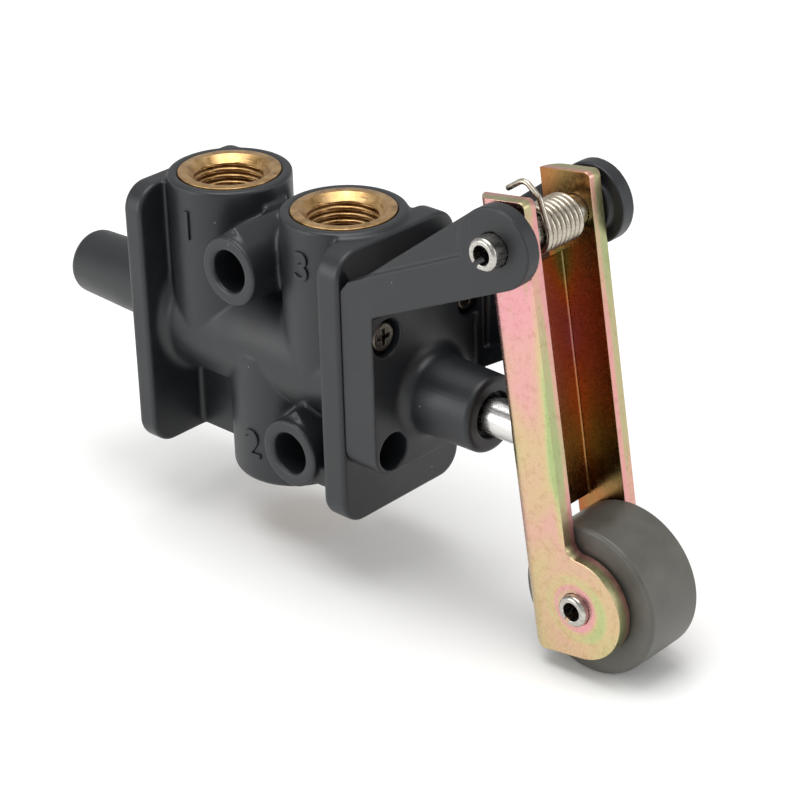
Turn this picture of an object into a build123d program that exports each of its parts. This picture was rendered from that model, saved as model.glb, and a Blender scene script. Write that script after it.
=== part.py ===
from build123d import *
import math
import os

# Roller lever air valve, three ports, in millimetres.
# Origin: centre of the upper mounting hole, on the valve's middle plane.
# X runs along the spool towards the lever, Z is up, -Y is the front.

# Body: two end plates on a housing round the spool
axis_drop = 12.7
plate_half_width = 10.6
plate_corner = 3.4
plate_edge_round = 0.4
spring_plate_cover = 0.7
spring_plate_thick = 3.0
spring_plate_top = 19.3
spring_plate_bottom = 17.2
lever_plate_cover = 0.75
lever_plate_thick = 3.65
lever_plate_top = 19.8
lever_plate_bottom = 16.8
housing_radius = 8.0
housing_flare = 1.5
web_half_thick = 2.0
web_top = 17.9
web_bottom = 16.8
roof_rise = 5.5
rib_setback = 1.2
foot_rib_rise = 0.9
foot_rib_thick = 2.7

# Ports, threaded G 1/8 in brass inserts
port_pitch = 20.0
port_rim = 20.4
outlet_rim = 17.9
port_boss_radius = 8.0
outlet_boss_radius = 8.2
port_boss_round = 0.4
outlet_boss_round = 1.3
insert_radius = 6.6
insert_root_radius = 6.0
insert_head_depth = 4.0
insert_length = 9.6
insert_proud = 0.05
insert_gap = 0.01
insert_groove_depth = 0.6
insert_groove_width = 1.6
thread_minor_radius = 4.283
countersink_radius = 5.4
countersink_depth = 0.7
passage_radius = 3.0

# Mounting holes across the body
mount_hole_radius = 2.7
mount_boss_radius = 4.5
mount_chamfer = 0.3
lower_mount_x = 9.2
lower_mount_drop = 22.2

# Spool bore with its seals and spacers
bore_radius = 5.0
seal_pitch = 10.0
seal_section_radius = 0.94
seal_wall_gap = 0.03
spool_land_radius = 3.0
spool_neck_radius = 2.0
spool_end = -19.0
spool_neck_start = -3.4
spool_neck_end = 7.4
spool_pilot_radius = 1.7
spool_pilot_length = 2.0
spacer_inner_radius = 3.2
spacer_wall_gap = 0.03
spacer_face_gap = 0.05
spacer_window_radius = 1.3
spacer_windows = 6
spacer_groove_radius = 4.4
spacer_groove_width = 4.0

# Spring cap on the far end plate
cap_length = 19.7
cap_root_radius = 5.0
cap_tip_radius = 4.35
cap_end_round = 1.4
cap_flange_radius = 6.9
cap_flange_thick = 1.6
cap_flange_round = 0.6
cap_wall = 1.5
cap_bore_radius = 3.1
cap_spigot_gap = 0.03
gasket_inner_radius = 5.5
gasket_outer_radius = 6.4
gasket_thick = 0.8
return_wire_radius = 0.35
return_coil_radius = 2.3
return_coil_turns = 8.0
return_seat_gap = 0.05

# Plunger, its guide bush and the bracket's nose that holds both
plunger_radius = 2.4
plunger_travel_room = 4.3
plunger_collar_radius = 3.4
plunger_collar_thick = 1.3
plunger_tip_gap = 0.3
plunger_tip_round = 1.5
plunger_running_gap = 0.06
nose_end = 33.9
nose_root_radius = 5.1
nose_tip_radius = 4.95
nose_tip_round = 0.8
nose_flare = 1.6
nose_bore_radius = 3.6
nose_lip_thick = 1.0
nose_mouth_radius = 3.0
guide_fit_gap = 0.03
guide_lead = 0.3
guide_groove_depth = 0.5
guide_groove_width = 2.4
collar_gap = 0.2
collar_end_gap = 0.3
wiper_thick = 1.0
retainer_gap = 0.03
bracket_gasket_inner = 5.2
bracket_gasket_outer = 6.2
bracket_gasket_thick = 0.9

# Bracket that carries the lever
bracket_face = 23.8
bracket_half_width = 10.2
bracket_bottom = 8.5
bracket_top = 13.4
bracket_corner = 3.0
arm_back_top = 15.5
arm_heel_out = 1.25
arm_heel_top = 17.0
arm_knee_out = 3.45
arm_knee_top = 18.06
arm_recess_depth = 0.25
arm_root_thick = 2.2
arm_tip_thick = 2.0
arm_tip_half_width = 9.4
arm_disc_radius = 4.95
arm_hub_radius = 3.2
arm_hub_gap = 0.3
gusset_foot = -0.45
gusset_reach = 34.5
gusset_angle = 32.0
gusset_panel_thick = 0.8
gusset_frame_thick = 1.7
gusset_strip_width = 1.15
gusset_band_height = 2.05
screw_inset = 2.6
screw_rise = 9.9
screw_head_radius = 1.95
screw_head_thick = 1.3
screw_head_round = 0.5
screw_shank_radius = 1.45
screw_length = 5.0
screw_hole_gap = 0.03
screw_recess_radius = 2.4
screw_recess_depth = 1.8
screw_cross_width = 0.55
screw_cross_length = 2.2
screw_cross_depth = 0.7
spare_hole_inset = 3.25
spare_hole_drop = 5.55
spare_hole_radius = 2.45
spare_hole_depth = 4.0

# Lever: folded channel on the pivot pin
pivot_x = 42.2
pivot_rise = 27.2
lever_tilt = 8.5
lever_half_width = 6.75
sheet = 2.0
bend_outer_radius = 2.3
lever_back = 4.65
lever_front = 2.7
lever_top = 4.8
lever_corner = 0.8
roller_reach = 45.0
roller_offset = 3.25
lever_end_radius = 6.5
lever_end_corner = 2.5
lever_neck_round = 1.6
web_start = 5.15
web_roller_gap = 1.29

# Pins: rolled spring pins with a slit
pin_radius = 2.0
pin_bore_radius = 1.17
pin_slit = 0.6
pin_chamfer = 0.3
pin_fit_gap = 0.02
pin_running_gap = 0.06
pin_slit_turn = 35.0
pivot_pin_proud = 2.3
roller_pin_proud = 0.9

# Roller
roller_radius = 9.5
roller_half_width = 4.35
roller_edge = 0.5
roller_hub_radius = 3.4
roller_hub_gap = 0.08

# Torsion spring round the pivot pin
torsion_wire_radius = 0.375
torsion_knot_radius = 0.39
torsion_coil_radius = 2.575
torsion_whole_turns = 7
torsion_pitch = 0.79
torsion_hook = [(1.13, 4.25), (-1.07, 6.0), (-3.59, 4.28)]
torsion_hook_bend = 1.2
torsion_tail_reach = 6.6
torsion_tail_end = 6.2
torsion_tail_bend = 0.9
torsion_anchor_gap = 0.05

# Values worked out from the sizes above
spool_z = -axis_drop
pivot_z = spool_z + pivot_rise
lower_mount_z = -lower_mount_drop
port_xs = (-port_pitch / 2, port_pitch / 2)
port_boss_reach = port_pitch / 2 + port_boss_radius
spring_plate_face = -(port_boss_reach + spring_plate_cover)
lever_plate_face = port_boss_reach + lever_plate_cover
port_rim_z = spool_z + port_rim
outlet_rim_z = spool_z - outlet_rim
seal_xs = [seal_pitch * (place - 1.5) for place in range(4)]
spacer_xs = [seal_pitch * (place - 1.0) for place in range(3)]
seal_centre_radius = bore_radius - seal_wall_gap - seal_section_radius
seal_stack_end = 1.5 * seal_pitch + seal_section_radius + spacer_face_gap
cap_end = spring_plate_face - cap_length
plunger_start = seal_stack_end + plunger_travel_room
guide_start = plunger_start + plunger_collar_thick + collar_end_gap
wiper_end = nose_end - nose_lip_thick
guide_end = wiper_end - wiper_thick
lever_back_drop = pivot_rise * math.tan(math.radians(lever_tilt))
lever_back_shift = lever_back / math.cos(math.radians(lever_tilt))
plunger_tip = pivot_x - lever_back_shift + lever_back_drop - plunger_tip_gap
screw_seat_x = bracket_face - screw_recess_depth
screw_y = bracket_half_width - screw_inset
spare_hole_y = bracket_half_width - spare_hole_inset
web_inner_reach = roller_offset + lever_back - sheet
web_end = roller_reach - math.sqrt((roller_radius + web_roller_gap) ** 2 - web_inner_reach**2)
roller_pin_half_length = lever_half_width + roller_pin_proud
lever_pose = Pos(pivot_x, 0, pivot_z) * Rot(0, -lever_tilt, 0)
arm_knee = (lever_plate_face + arm_knee_out, spool_z + arm_knee_top)


# Round stock along one axis, from start to end
def rod_x(radius, start, end, y=0.0, z=spool_z):
    return Pos((start + end) / 2, y, z) * Rot(0, 90, 0) * Cylinder(radius, end - start)


def rod_y(radius, start, end, x=0.0, z=0.0):
    return Pos(x, (start + end) / 2, z) * Rot(90, 0, 0) * Cylinder(radius, end - start)


def rod_z(radius, start, end, x=0.0, y=0.0):
    return Pos(x, y, (start + end) / 2) * Cylinder(radius, end - start)


def block(x_range, y_range, z_range):
    size = [high - low for low, high in (x_range, y_range, z_range)]
    centre = [(high + low) / 2 for low, high in (x_range, y_range, z_range)]
    return Pos(*centre) * Box(*size)


# A turned piece on an axis along X: points are (x, radius) pairs
def turned_x(points, y=0.0, z=spool_z):
    outline = make_face(Polyline(*points, close=True))
    return Pos(0, y, z) * revolve(outline, Axis.X)


def ring_x(radius, section_radius, x, z=spool_z):
    return Pos(x, 0, z) * Rot(0, 90, 0) * Torus(radius, section_radius)


def edges_in_plane(shape, axis, place, reach=0.01):
    return shape.edges().filter_by_position(axis, place - reach, place + reach)


# Valve body
def end_plate(face, thickness, top, bottom):
    height = top + bottom
    middle = spool_z + (top - bottom) / 2
    outline = RectangleRounded(2 * plate_half_width, height, plate_corner)
    plate = extrude(Plane.YZ.offset(face) * Pos(0, middle) * outline, thickness)
    rims = edges_in_plane(plate, Axis.X, face) + edges_in_plane(plate, Axis.X, face + thickness)
    return fillet(rims, plate_edge_round)


# Concave ring where the round housing meets a plate at x, growing along X by side
def housing_ring(x, side):
    rim = housing_radius + housing_flare
    end = x + side * housing_flare
    sag = housing_flare * (1 - math.sqrt(0.5))
    curve = ThreePointArc((x, rim), (x + side * sag, housing_radius + sag), (end, housing_radius))
    sides = Polyline((end, housing_radius), (end, 0), (x, 0), (x, rim))
    return Pos(0, 0, spool_z) * revolve(make_face(curve + sides), Axis.X)


def port_boss(x):
    boss = rod_z(port_boss_radius, spool_z, port_rim_z, x)
    return fillet(edges_in_plane(boss, Axis.Z, port_rim_z), port_boss_round)


def outlet_boss():
    boss = rod_z(outlet_boss_radius, outlet_rim_z, spool_z)
    return fillet(edges_in_plane(boss, Axis.Z, outlet_rim_z), outlet_boss_round)


def mount_boss(x, z):
    return rod_y(mount_boss_radius, -plate_half_width, plate_half_width, x, z)


# Roof with tangent flanks over the front of a mounting boss
def mount_roof(x, z):
    ridge = (x, z + roof_rise)
    left = tangent_point(*ridge, x, z, mount_boss_radius, -1)
    right = tangent_point(*ridge, x, z, mount_boss_radius, 1)
    outline = make_face(Polyline(ridge, left, (x, z), right, close=True))
    return extrude(Plane.XZ * outline, plate_half_width - rib_setback)


def mount_hole(x, z):
    hole = rod_y(mount_hole_radius, -plate_half_width, plate_half_width, x, z)
    for side in (-1, 1):
        mouth = Rot(-90 * side, 0, 0) * Cone(
            mount_hole_radius, mount_hole_radius + mount_chamfer, mount_chamfer
        )
        hole += Pos(x, side * (plate_half_width - mount_chamfer / 2), z) * mouth
    return hole


# Stepped pocket for a port insert, with the passage down to the spool
def port_pocket(x, rim, side):
    steps = [
        (insert_radius, rim, rim - side * insert_head_depth),
        (insert_root_radius, rim, rim - side * insert_length),
        (passage_radius, rim, spool_z),
    ]
    pocket = None
    for radius, start, end in steps:
        hole = rod_z(radius, min(start, end), max(start, end), x)
        pocket = hole if pocket is None else pocket + hole
    return pocket


def make_valve_body():
    lever_plate_back = lever_plate_face - lever_plate_thick
    body = end_plate(spring_plate_face, spring_plate_thick, spring_plate_top, spring_plate_bottom)
    body += end_plate(lever_plate_back, lever_plate_thick, lever_plate_top, lever_plate_bottom)
    body += rod_x(housing_radius, spring_plate_face + 1, lever_plate_face - 1)
    body += housing_ring(spring_plate_face + spring_plate_thick, 1)
    body += housing_ring(lever_plate_back, -1)
    for x in port_xs:
        body += port_boss(x)
    body += outlet_boss()
    inner = (spring_plate_face + 1, lever_plate_face - 1)
    web_span = (-web_half_thick, web_half_thick)
    body += block(inner, web_span, (spool_z - web_bottom, spool_z + web_top))
    for x, z in ((0.0, 0.0), (lower_mount_x, lower_mount_z)):
        body += mount_boss(x, z)
        body += mount_roof(x, z)
    rib_reach = plate_half_width - rib_setback
    rib_end = lever_plate_face - lever_plate_thick / 2
    rib_low = lower_mount_z - mount_boss_radius + foot_rib_rise
    rib_span = (-rib_reach, rib_reach)
    body += block((lower_mount_x, rib_end), rib_span, (rib_low, rib_low + foot_rib_thick))
    body -= rod_x(bore_radius, spring_plate_face, lever_plate_face)
    for x in port_xs:
        body -= port_pocket(x, port_rim_z, 1)
    body -= port_pocket(0.0, outlet_rim_z, -1)
    body -= mount_hole(0.0, 0.0)
    body -= mount_hole(lower_mount_x, lower_mount_z)
    for side in (-1, 1):
        hole_radius = screw_shank_radius + screw_hole_gap
        body -= rod_x(hole_radius, lever_plate_back, lever_plate_face, side * screw_y, spool_z + screw_rise)
    return body


# Brass insert of one port, rim upwards, threaded later: its bore is the thread's minor diameter
def make_port_insert(x, rim, side):
    head = insert_radius - insert_gap
    root = insert_root_radius - insert_gap
    groove = root - insert_groove_depth
    low = -insert_length
    step = -insert_head_depth
    points = [
        (thread_minor_radius, low),
        (root, low),
        (root, step - insert_groove_width),
        (groove, step - insert_groove_width),
        (groove, step),
        (head, step),
        (head, insert_proud),
        (countersink_radius, insert_proud),
        (thread_minor_radius, insert_proud - countersink_depth),
    ]
    profile = make_face(Plane.XZ * Polyline(*points, close=True))
    insert = revolve(profile, Axis.Z)
    if side < 0:
        insert = Rot(180, 0, 0) * insert
    return Pos(x, 0, rim) * insert


# Spring cap: flange and spigot on the end plate, with the return spring inside
def make_spring_cap():
    spigot_radius = bore_radius - cap_spigot_gap
    spigot_end = -seal_stack_end
    face = spring_plate_face
    points = [
        (cap_end, 0),
        (cap_end, cap_tip_radius),
        (face - cap_flange_thick, cap_root_radius),
        (face - cap_flange_thick, cap_flange_radius),
        (face, cap_flange_radius),
        (face, spigot_radius),
        (spigot_end, spigot_radius),
        (spigot_end, 0),
    ]
    cap = turned_x(points)
    cap = fillet(edges_in_plane(cap, Axis.X, cap_end), cap_end_round)
    cap = fillet(edges_in_plane(cap, Axis.X, face - cap_flange_thick), cap_flange_round)
    cap -= rod_x(cap_bore_radius, cap_end + cap_wall, spigot_end)
    return cap - make_cap_gasket()


# Flat ring on the spool's axis
def flat_ring(inner, outer, start, end):
    return rod_x(outer, start, end) - rod_x(inner, start, end)


def make_cap_gasket():
    face = spring_plate_face
    return flat_ring(gasket_inner_radius, gasket_outer_radius, face - gasket_thick, face)


def make_bracket_gasket():
    end = lever_plate_face + bracket_gasket_thick
    return flat_ring(bracket_gasket_inner, bracket_gasket_outer, lever_plate_face, end)


# Round wire wound about X between two x values
def make_return_spring():
    start = cap_end + cap_wall + return_wire_radius + return_seat_gap
    end = spool_end - return_wire_radius - return_seat_gap
    length = end - start
    path = Helix(length / return_coil_turns, length, return_coil_radius)
    wire = Plane(path @ 0, z_dir=path % 0) * Circle(return_wire_radius)
    coil = sweep(wire, path, is_frenet=True)
    return Pos(start, 0, spool_z) * Rot(0, 90, 0) * coil


def make_spool():
    points = [
        (spool_end - spool_pilot_length, 0),
        (spool_end - spool_pilot_length, spool_pilot_radius),
        (spool_end, spool_pilot_radius),
        (spool_end, spool_land_radius),
        (spool_neck_start, spool_land_radius),
        (spool_neck_start + 1, spool_neck_radius),
        (spool_neck_end - 1, spool_neck_radius),
        (spool_neck_end, spool_land_radius),
        (plunger_start, spool_land_radius),
        (plunger_start, 0),
    ]
    return turned_x(points)


def make_spool_seal(x):
    return ring_x(seal_centre_radius, seal_section_radius, x)


# Spacer ring between two seals, with a groove and windows that let the air through
def make_seal_spacer(x):
    half = seal_pitch / 2 - seal_section_radius - spacer_face_gap
    outer = bore_radius - spacer_wall_gap
    spacer = flat_ring(spacer_inner_radius, outer, x - half, x + half)
    groove_half = spacer_groove_width / 2
    spacer -= flat_ring(spacer_groove_radius, outer + 1, x - groove_half, x + groove_half)
    for turn in range(spacer_windows):
        angle = 360 * turn / spacer_windows
        window = Rot(angle, 0, 0) * rod_z(spacer_window_radius, 0, bore_radius)
        spacer -= Pos(x, 0, spool_z) * window
    return spacer


def make_seal_retainer():
    outer = bore_radius - retainer_gap
    inner = plunger_collar_radius + collar_gap
    return flat_ring(inner, outer, seal_stack_end, lever_plate_face)


# Plunger: collar against the guide, domed tip against the lever
def make_plunger():
    collar_end = plunger_start + plunger_collar_thick
    points = [
        (plunger_start, 0),
        (plunger_start, plunger_collar_radius),
        (collar_end, plunger_collar_radius),
        (collar_end, plunger_radius),
        (plunger_tip, plunger_radius),
        (plunger_tip, 0),
    ]
    plunger = turned_x(points)
    return fillet(edges_in_plane(plunger, Axis.X, plunger_tip), plunger_tip_round)


# Guide bush in the bracket's nose, with a grease groove in its bore
def make_plunger_guide():
    outer = nose_bore_radius - guide_fit_gap
    inner = plunger_radius + plunger_running_gap
    middle = (guide_start + guide_end) / 2
    half = guide_groove_width / 2
    return turned_x([
        (guide_start, inner),
        (guide_start, outer - guide_lead),
        (guide_start + guide_lead, outer),
        (guide_end, outer),
        (guide_end, inner),
        (middle + half, inner),
        (middle + half, inner + guide_groove_depth),
        (middle - half, inner + guide_groove_depth),
        (middle - half, inner),
    ])


def make_plunger_wiper():
    inner = plunger_radius + plunger_running_gap
    return flat_ring(inner, nose_bore_radius - guide_fit_gap, guide_end, wiper_end)


# Point where a line from (x, z) touches a circle, above or below it
def tangent_point(x, z, centre_x, centre_z, radius, side):
    distance = math.hypot(centre_x - x, centre_z - z)
    heading = math.atan2(centre_z - z, centre_x - x) + side * math.asin(radius / distance)
    reach = math.sqrt(distance**2 - radius**2)
    return (x + reach * math.cos(heading), z + reach * math.sin(heading))


# Outline of one arm, seen from the side
def arm_outline():
    back = lever_plate_face
    heel = (back + arm_heel_out, spool_z + arm_heel_top)
    throat = spool_z + bracket_top
    disc = (pivot_x, pivot_z, arm_disc_radius)
    upper = tangent_point(*arm_knee, *disc, 1)
    lower = tangent_point(bracket_face, throat, *disc, -1)
    foot = throat - bracket_corner
    outline = make_face(Polyline(
        (back, foot), (back, spool_z + arm_back_top), heel, arm_knee, upper, (pivot_x, pivot_z), lower,
        (bracket_face, throat), (bracket_face, foot), close=True,
    ))
    return outline + Pos(pivot_x, pivot_z) * Circle(arm_disc_radius)


# Plan of the front arm: it leans in a little towards the pivot
def arm_plan():
    tip = pivot_x + arm_disc_radius + 1
    plan = make_face(Polyline(
        (lever_plate_face, -bracket_half_width),
        (bracket_face, -bracket_half_width),
        (tip, -arm_tip_half_width),
        (tip, -arm_tip_half_width + arm_tip_thick),
        (bracket_face, -bracket_half_width + arm_root_thick),
        (lever_plate_face, -bracket_half_width + arm_root_thick),
        close=True,
    ))
    return extrude(Pos(0, 0, spool_z - bracket_bottom) * plan, 3 * pivot_rise)


# Shallow step in the arm's outer face, between its upper edge and the disc
def arm_recess():
    upper = tangent_point(*arm_knee, pivot_x, pivot_z, arm_disc_radius, 1)
    panel = make_face(Polyline(arm_knee, upper, (pivot_x, pivot_z), close=True))
    panel -= Pos(pivot_x, pivot_z) * Circle(arm_disc_radius)
    skin = arm_plan() - Pos(0, arm_recess_depth, 0) * arm_plan()
    return extrude(Plane.XZ * panel, bracket_half_width + 1) & skin


def make_arm():
    slab = extrude(Plane.XZ * arm_outline(), bracket_half_width + 1)
    arm = (slab & arm_plan()) - arm_recess()
    hub_start = -arm_tip_half_width + arm_tip_thick / 2
    hub_end = -lever_half_width - arm_hub_gap
    return arm + rod_y(arm_hub_radius, hub_start, hub_end, pivot_x, pivot_z)


# Gusset under the rear arm: a thin panel framed by a strip on the block and a sloping band
def make_gusset():
    foot = spool_z + gusset_foot
    throat = spool_z + bracket_top
    back = bracket_face - 1
    run = gusset_reach - bracket_face
    rise = run * math.tan(math.radians(gusset_angle))
    lower = tangent_point(bracket_face, throat, pivot_x, pivot_z, arm_disc_radius, -1)
    slope = (lower[1] - throat) / (lower[0] - bracket_face)
    edge = [(back, foot), (bracket_face, foot), (gusset_reach, foot + rise)]
    top = [(gusset_reach, throat + slope * run + 1), (back, throat + 1)]
    band_top = [(gusset_reach, foot + rise + gusset_band_height), (back, foot + gusset_band_height)]
    outer = -bracket_half_width
    arm = mirror(arm_plan(), Plane.XZ)
    wall = extrude(Plane.XZ * make_face(Polyline(*edge, *top, close=True)), outer) & arm
    panel = wall & Pos(0, arm_root_thick - gusset_panel_thick, 0) * arm
    band = extrude(Plane.XZ * make_face(Polyline(*edge, *band_top, close=True)), outer)
    strip = block((back, bracket_face + gusset_strip_width), (0, bracket_half_width), (foot, throat + 1))
    frame = (wall & band) + (wall & strip)
    frame &= Pos(0, arm_root_thick - gusset_frame_thick, 0) * arm
    return panel + frame


# Nose round the plunger, with a concave root on the block and a lip at its mouth
def make_nose():
    root = bracket_face + nose_flare
    rim = nose_root_radius + nose_flare
    sag = nose_flare * (1 - math.sqrt(0.5))
    curve = ThreePointArc(
        (bracket_face, rim), (bracket_face + sag, nose_root_radius + sag), (root, nose_root_radius)
    )
    sides = Polyline(
        (root, nose_root_radius), (nose_end, nose_tip_radius), (nose_end, 0),
        (lever_plate_face, 0), (lever_plate_face, nose_root_radius), (bracket_face, nose_root_radius),
        (bracket_face, rim),
    )
    nose = Pos(0, 0, spool_z) * revolve(make_face(curve + sides), Axis.X)
    return fillet(edges_in_plane(nose, Axis.X, nose_end), nose_tip_round)


def make_lever_bracket():
    height = bracket_top + bracket_bottom
    middle = spool_z + (bracket_top - bracket_bottom) / 2
    outline = RectangleRounded(2 * bracket_half_width, height, bracket_corner)
    seat = Plane.YZ.offset(lever_plate_face) * Pos(0, middle)
    base = extrude(seat * outline, bracket_face - lever_plate_face)
    arm = make_arm()
    bracket = base + arm + mirror(arm, Plane.XZ) + make_gusset() + make_nose()
    bracket -= rod_x(nose_bore_radius, lever_plate_face, wiper_end)
    bracket -= rod_x(nose_mouth_radius, wiper_end, nose_end)
    bracket -= make_bracket_gasket()
    bracket -= rod_y(pin_radius + pin_fit_gap, -plate_half_width, plate_half_width, pivot_x, pivot_z)
    screw_hole = screw_shank_radius + screw_hole_gap
    screw_z = spool_z + screw_rise
    spare_z = spool_z - spare_hole_drop
    spare_floor = bracket_face - spare_hole_depth
    for side in (-1, 1):
        bracket -= rod_x(screw_hole, lever_plate_face, bracket_face, side * screw_y, screw_z)
        bracket -= rod_x(screw_recess_radius, screw_seat_x, bracket_face, side * screw_y, screw_z)
        bracket -= rod_x(spare_hole_radius, spare_floor, bracket_face, side * spare_hole_y, spare_z)
    anchor_x = pivot_x - torsion_tail_reach
    anchor_z = pivot_z - torsion_coil_radius
    anchor_radius = torsion_wire_radius + torsion_anchor_gap
    bracket -= rod_y(anchor_radius, lever_half_width, bracket_half_width, anchor_x, anchor_z)
    return bracket


# Pan head screw along X with a cross recess, head outwards
def make_bracket_screw(side):
    y = side * screw_y
    z = spool_z + screw_rise
    head_end = screw_seat_x + screw_head_thick
    screw = rod_x(screw_head_radius, screw_seat_x, head_end, y, z)
    screw = fillet(edges_in_plane(screw, Axis.X, head_end), screw_head_round)
    screw += rod_x(screw_shank_radius, screw_seat_x - screw_length, screw_seat_x, y, z)
    arm = screw_cross_length / 2
    half = screw_cross_width / 2
    depth = (head_end - screw_cross_depth, head_end)
    screw -= block(depth, (y - arm, y + arm), (z - half, z + half))
    screw -= block(depth, (y - half, y + half), (z - arm, z + arm))
    return screw


# Spring pin along Y: a rolled tube with a slit and chamfered ends
def spring_pin(half_length):
    pin = rod_y(pin_radius, -half_length, half_length)
    ends = edges_in_plane(pin, Axis.Y, -half_length) + edges_in_plane(pin, Axis.Y, half_length)
    pin = chamfer(ends, pin_chamfer)
    pin -= rod_y(pin_bore_radius, -half_length, half_length)
    slit = block((-pin_slit / 2, pin_slit / 2), (-half_length, half_length), (-2 * pin_radius, 0))
    return pin - slit


def make_pivot_pin():
    half_length = arm_tip_half_width + pivot_pin_proud
    return Pos(pivot_x, 0, pivot_z) * Rot(0, pin_slit_turn, 0) * spring_pin(half_length)


def make_roller_pin():
    place = lever_pose * Pos(roller_offset, 0, -roller_reach)
    return place * Rot(0, pin_slit_turn, 0) * spring_pin(roller_pin_half_length)


# Lever channel in its own frame: pivot at the origin, flanges down -Z, web on -X
def lever_side_outline():
    bottom = -roller_reach - lever_end_radius
    strip = make_face(Polyline(
        (-lever_back, lever_top), (lever_front, lever_top), (lever_front, -roller_reach),
        (roller_offset, -roller_reach), (roller_offset, bottom), (-lever_back, bottom), close=True,
    ))
    outline = strip + Pos(roller_offset, -roller_reach) * Circle(lever_end_radius)
    neck_drop = math.sqrt(lever_end_radius**2 - (lever_front - roller_offset) ** 2)
    rounds = [
        (-lever_back, bottom, lever_end_corner),
        (lever_front, -roller_reach + neck_drop, lever_neck_round),
        (lever_front, lever_top, lever_corner),
    ]
    for x, z, radius in rounds:
        corners = outline.vertices()
        corner = min(corners, key=lambda v: math.hypot(v.X - x, v.Y - z))
        outline = fillet([corner], radius)
    return outline


def channel_section():
    reach = roller_offset + lever_end_radius + 1
    width = 2 * lever_half_width
    outer = Pos((reach - lever_back) / 2, 0) * Rectangle(reach + lever_back, width)
    inner_back = -lever_back + sheet
    inner = Pos((reach + inner_back) / 2, 0) * Rectangle(reach - inner_back, width - 2 * sheet)
    outer = fillet(outer.vertices().group_by(Axis.X)[0], bend_outer_radius)
    inner = fillet(inner.vertices().group_by(Axis.X)[0], bend_outer_radius - sheet)
    return outer - inner


def make_lever_channel():
    bottom = -roller_reach - lever_end_radius - 1
    channel = extrude(Pos(0, 0, bottom) * channel_section(), lever_top - bottom)
    side = extrude(Plane.XZ * lever_side_outline(), lever_half_width + 1, both=True)
    channel &= side
    clear = lever_half_width - sheet
    channel -= block((-lever_back - 1, 0), (-clear, clear), (-web_start, lever_top + 1))
    channel -= block((-lever_back - 1, lever_front), (-clear, clear), (bottom, -web_end))
    across = lever_half_width
    channel -= rod_y(pin_radius + pin_running_gap, -across, across)
    channel -= rod_y(pin_radius + pin_fit_gap, -across, across, roller_offset, -roller_reach)
    return lever_pose * channel


def make_roller():
    half = roller_half_width
    roller = rod_y(roller_radius, -half, half)
    rims = edges_in_plane(roller, Axis.Y, -half) + edges_in_plane(roller, Axis.Y, half)
    roller = fillet(rims, roller_edge)
    hub = lever_half_width - sheet - roller_hub_gap
    roller += rod_y(roller_hub_radius, -hub, hub)
    roller -= rod_y(pin_radius + pin_running_gap, -hub, hub)
    return lever_pose * Pos(roller_offset, 0, -roller_reach) * roller


# Torsion spring: close coil, an open hook at the near end and a tail in the rear arm
def make_torsion_spring():
    touch = tangent_point(*torsion_hook[0], 0, 0, torsion_coil_radius, 1)
    start_angle = math.degrees(math.atan2(touch[1], touch[0]))
    height = torsion_pitch * (torsion_whole_turns + (start_angle + 90) / 360)
    near = -height / 2
    far = height / 2
    path = Helix(torsion_pitch, height, torsion_coil_radius)
    wire = Circle(torsion_wire_radius)
    coil = sweep(Plane(path @ 0, z_dir=path % 0) * wire, path, is_frenet=True)
    coil = Pos(0, near, 0) * Rot(0, -start_angle, 0) * Rot(-90, 0, 0) * coil
    points = [(touch[0], near, touch[1])] + [(x, near, z) for x, z in torsion_hook]
    hook_path = FilletPolyline(*points, radius=torsion_hook_bend)
    hook = sweep(Plane(hook_path @ 0, z_dir=hook_path % 0) * wire, hook_path)
    leave = (0, far, -torsion_coil_radius)
    bend = (-torsion_tail_reach, far, -torsion_coil_radius)
    end = (-torsion_tail_reach, far + torsion_tail_end, -torsion_coil_radius)
    tail_path = FilletPolyline(leave, bend, end, radius=torsion_tail_bend)
    tail = sweep(Plane(tail_path @ 0, z_dir=tail_path % 0) * wire, tail_path)
    knots = [Pos(*knot) * Sphere(torsion_knot_radius) for knot in (points[0], leave)]
    spring = coil
    for piece in (knots[0], hook, knots[1], tail):
        spring = spring + piece
    return Pos(pivot_x, 0, pivot_z) * spring


def save(shape, name):
    export_step(shape, "parts/" + name + ".step")


os.makedirs("parts", exist_ok=True)
save(make_valve_body(), "valve_body")
save(make_port_insert(port_xs[0], port_rim_z, 1), "port_insert_1")
save(make_port_insert(0.0, outlet_rim_z, -1), "port_insert_2")
save(make_port_insert(port_xs[1], port_rim_z, 1), "port_insert_3")
save(make_spring_cap(), "spring_cap")
save(make_cap_gasket(), "cap_gasket")
save(make_return_spring(), "return_spring")
save(make_spool(), "spool")
for number, place in enumerate(seal_xs, start=1):
    save(make_spool_seal(place), f"spool_seal_{number}")
for number, place in enumerate(spacer_xs, start=1):
    save(make_seal_spacer(place), f"seal_spacer_{number}")
save(make_seal_retainer(), "seal_retainer")
save(make_plunger(), "plunger")
save(make_plunger_guide(), "plunger_guide")
save(make_plunger_wiper(), "plunger_wiper")
save(make_lever_bracket(), "lever_bracket")
save(make_bracket_gasket(), "bracket_gasket")
save(Compound([make_bracket_screw(-1), make_bracket_screw(1)]), "bracket_screws")
save(make_pivot_pin(), "pivot_pin")
save(make_torsion_spring(), "torsion_spring")
save(make_lever_channel(), "lever_channel")
save(make_roller(), "roller")
save(make_roller_pin(), "roller_pin")
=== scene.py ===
import math

import bpy
import bmesh
import numpy as np
import openvdb
from mathutils import Matrix, Vector


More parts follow.
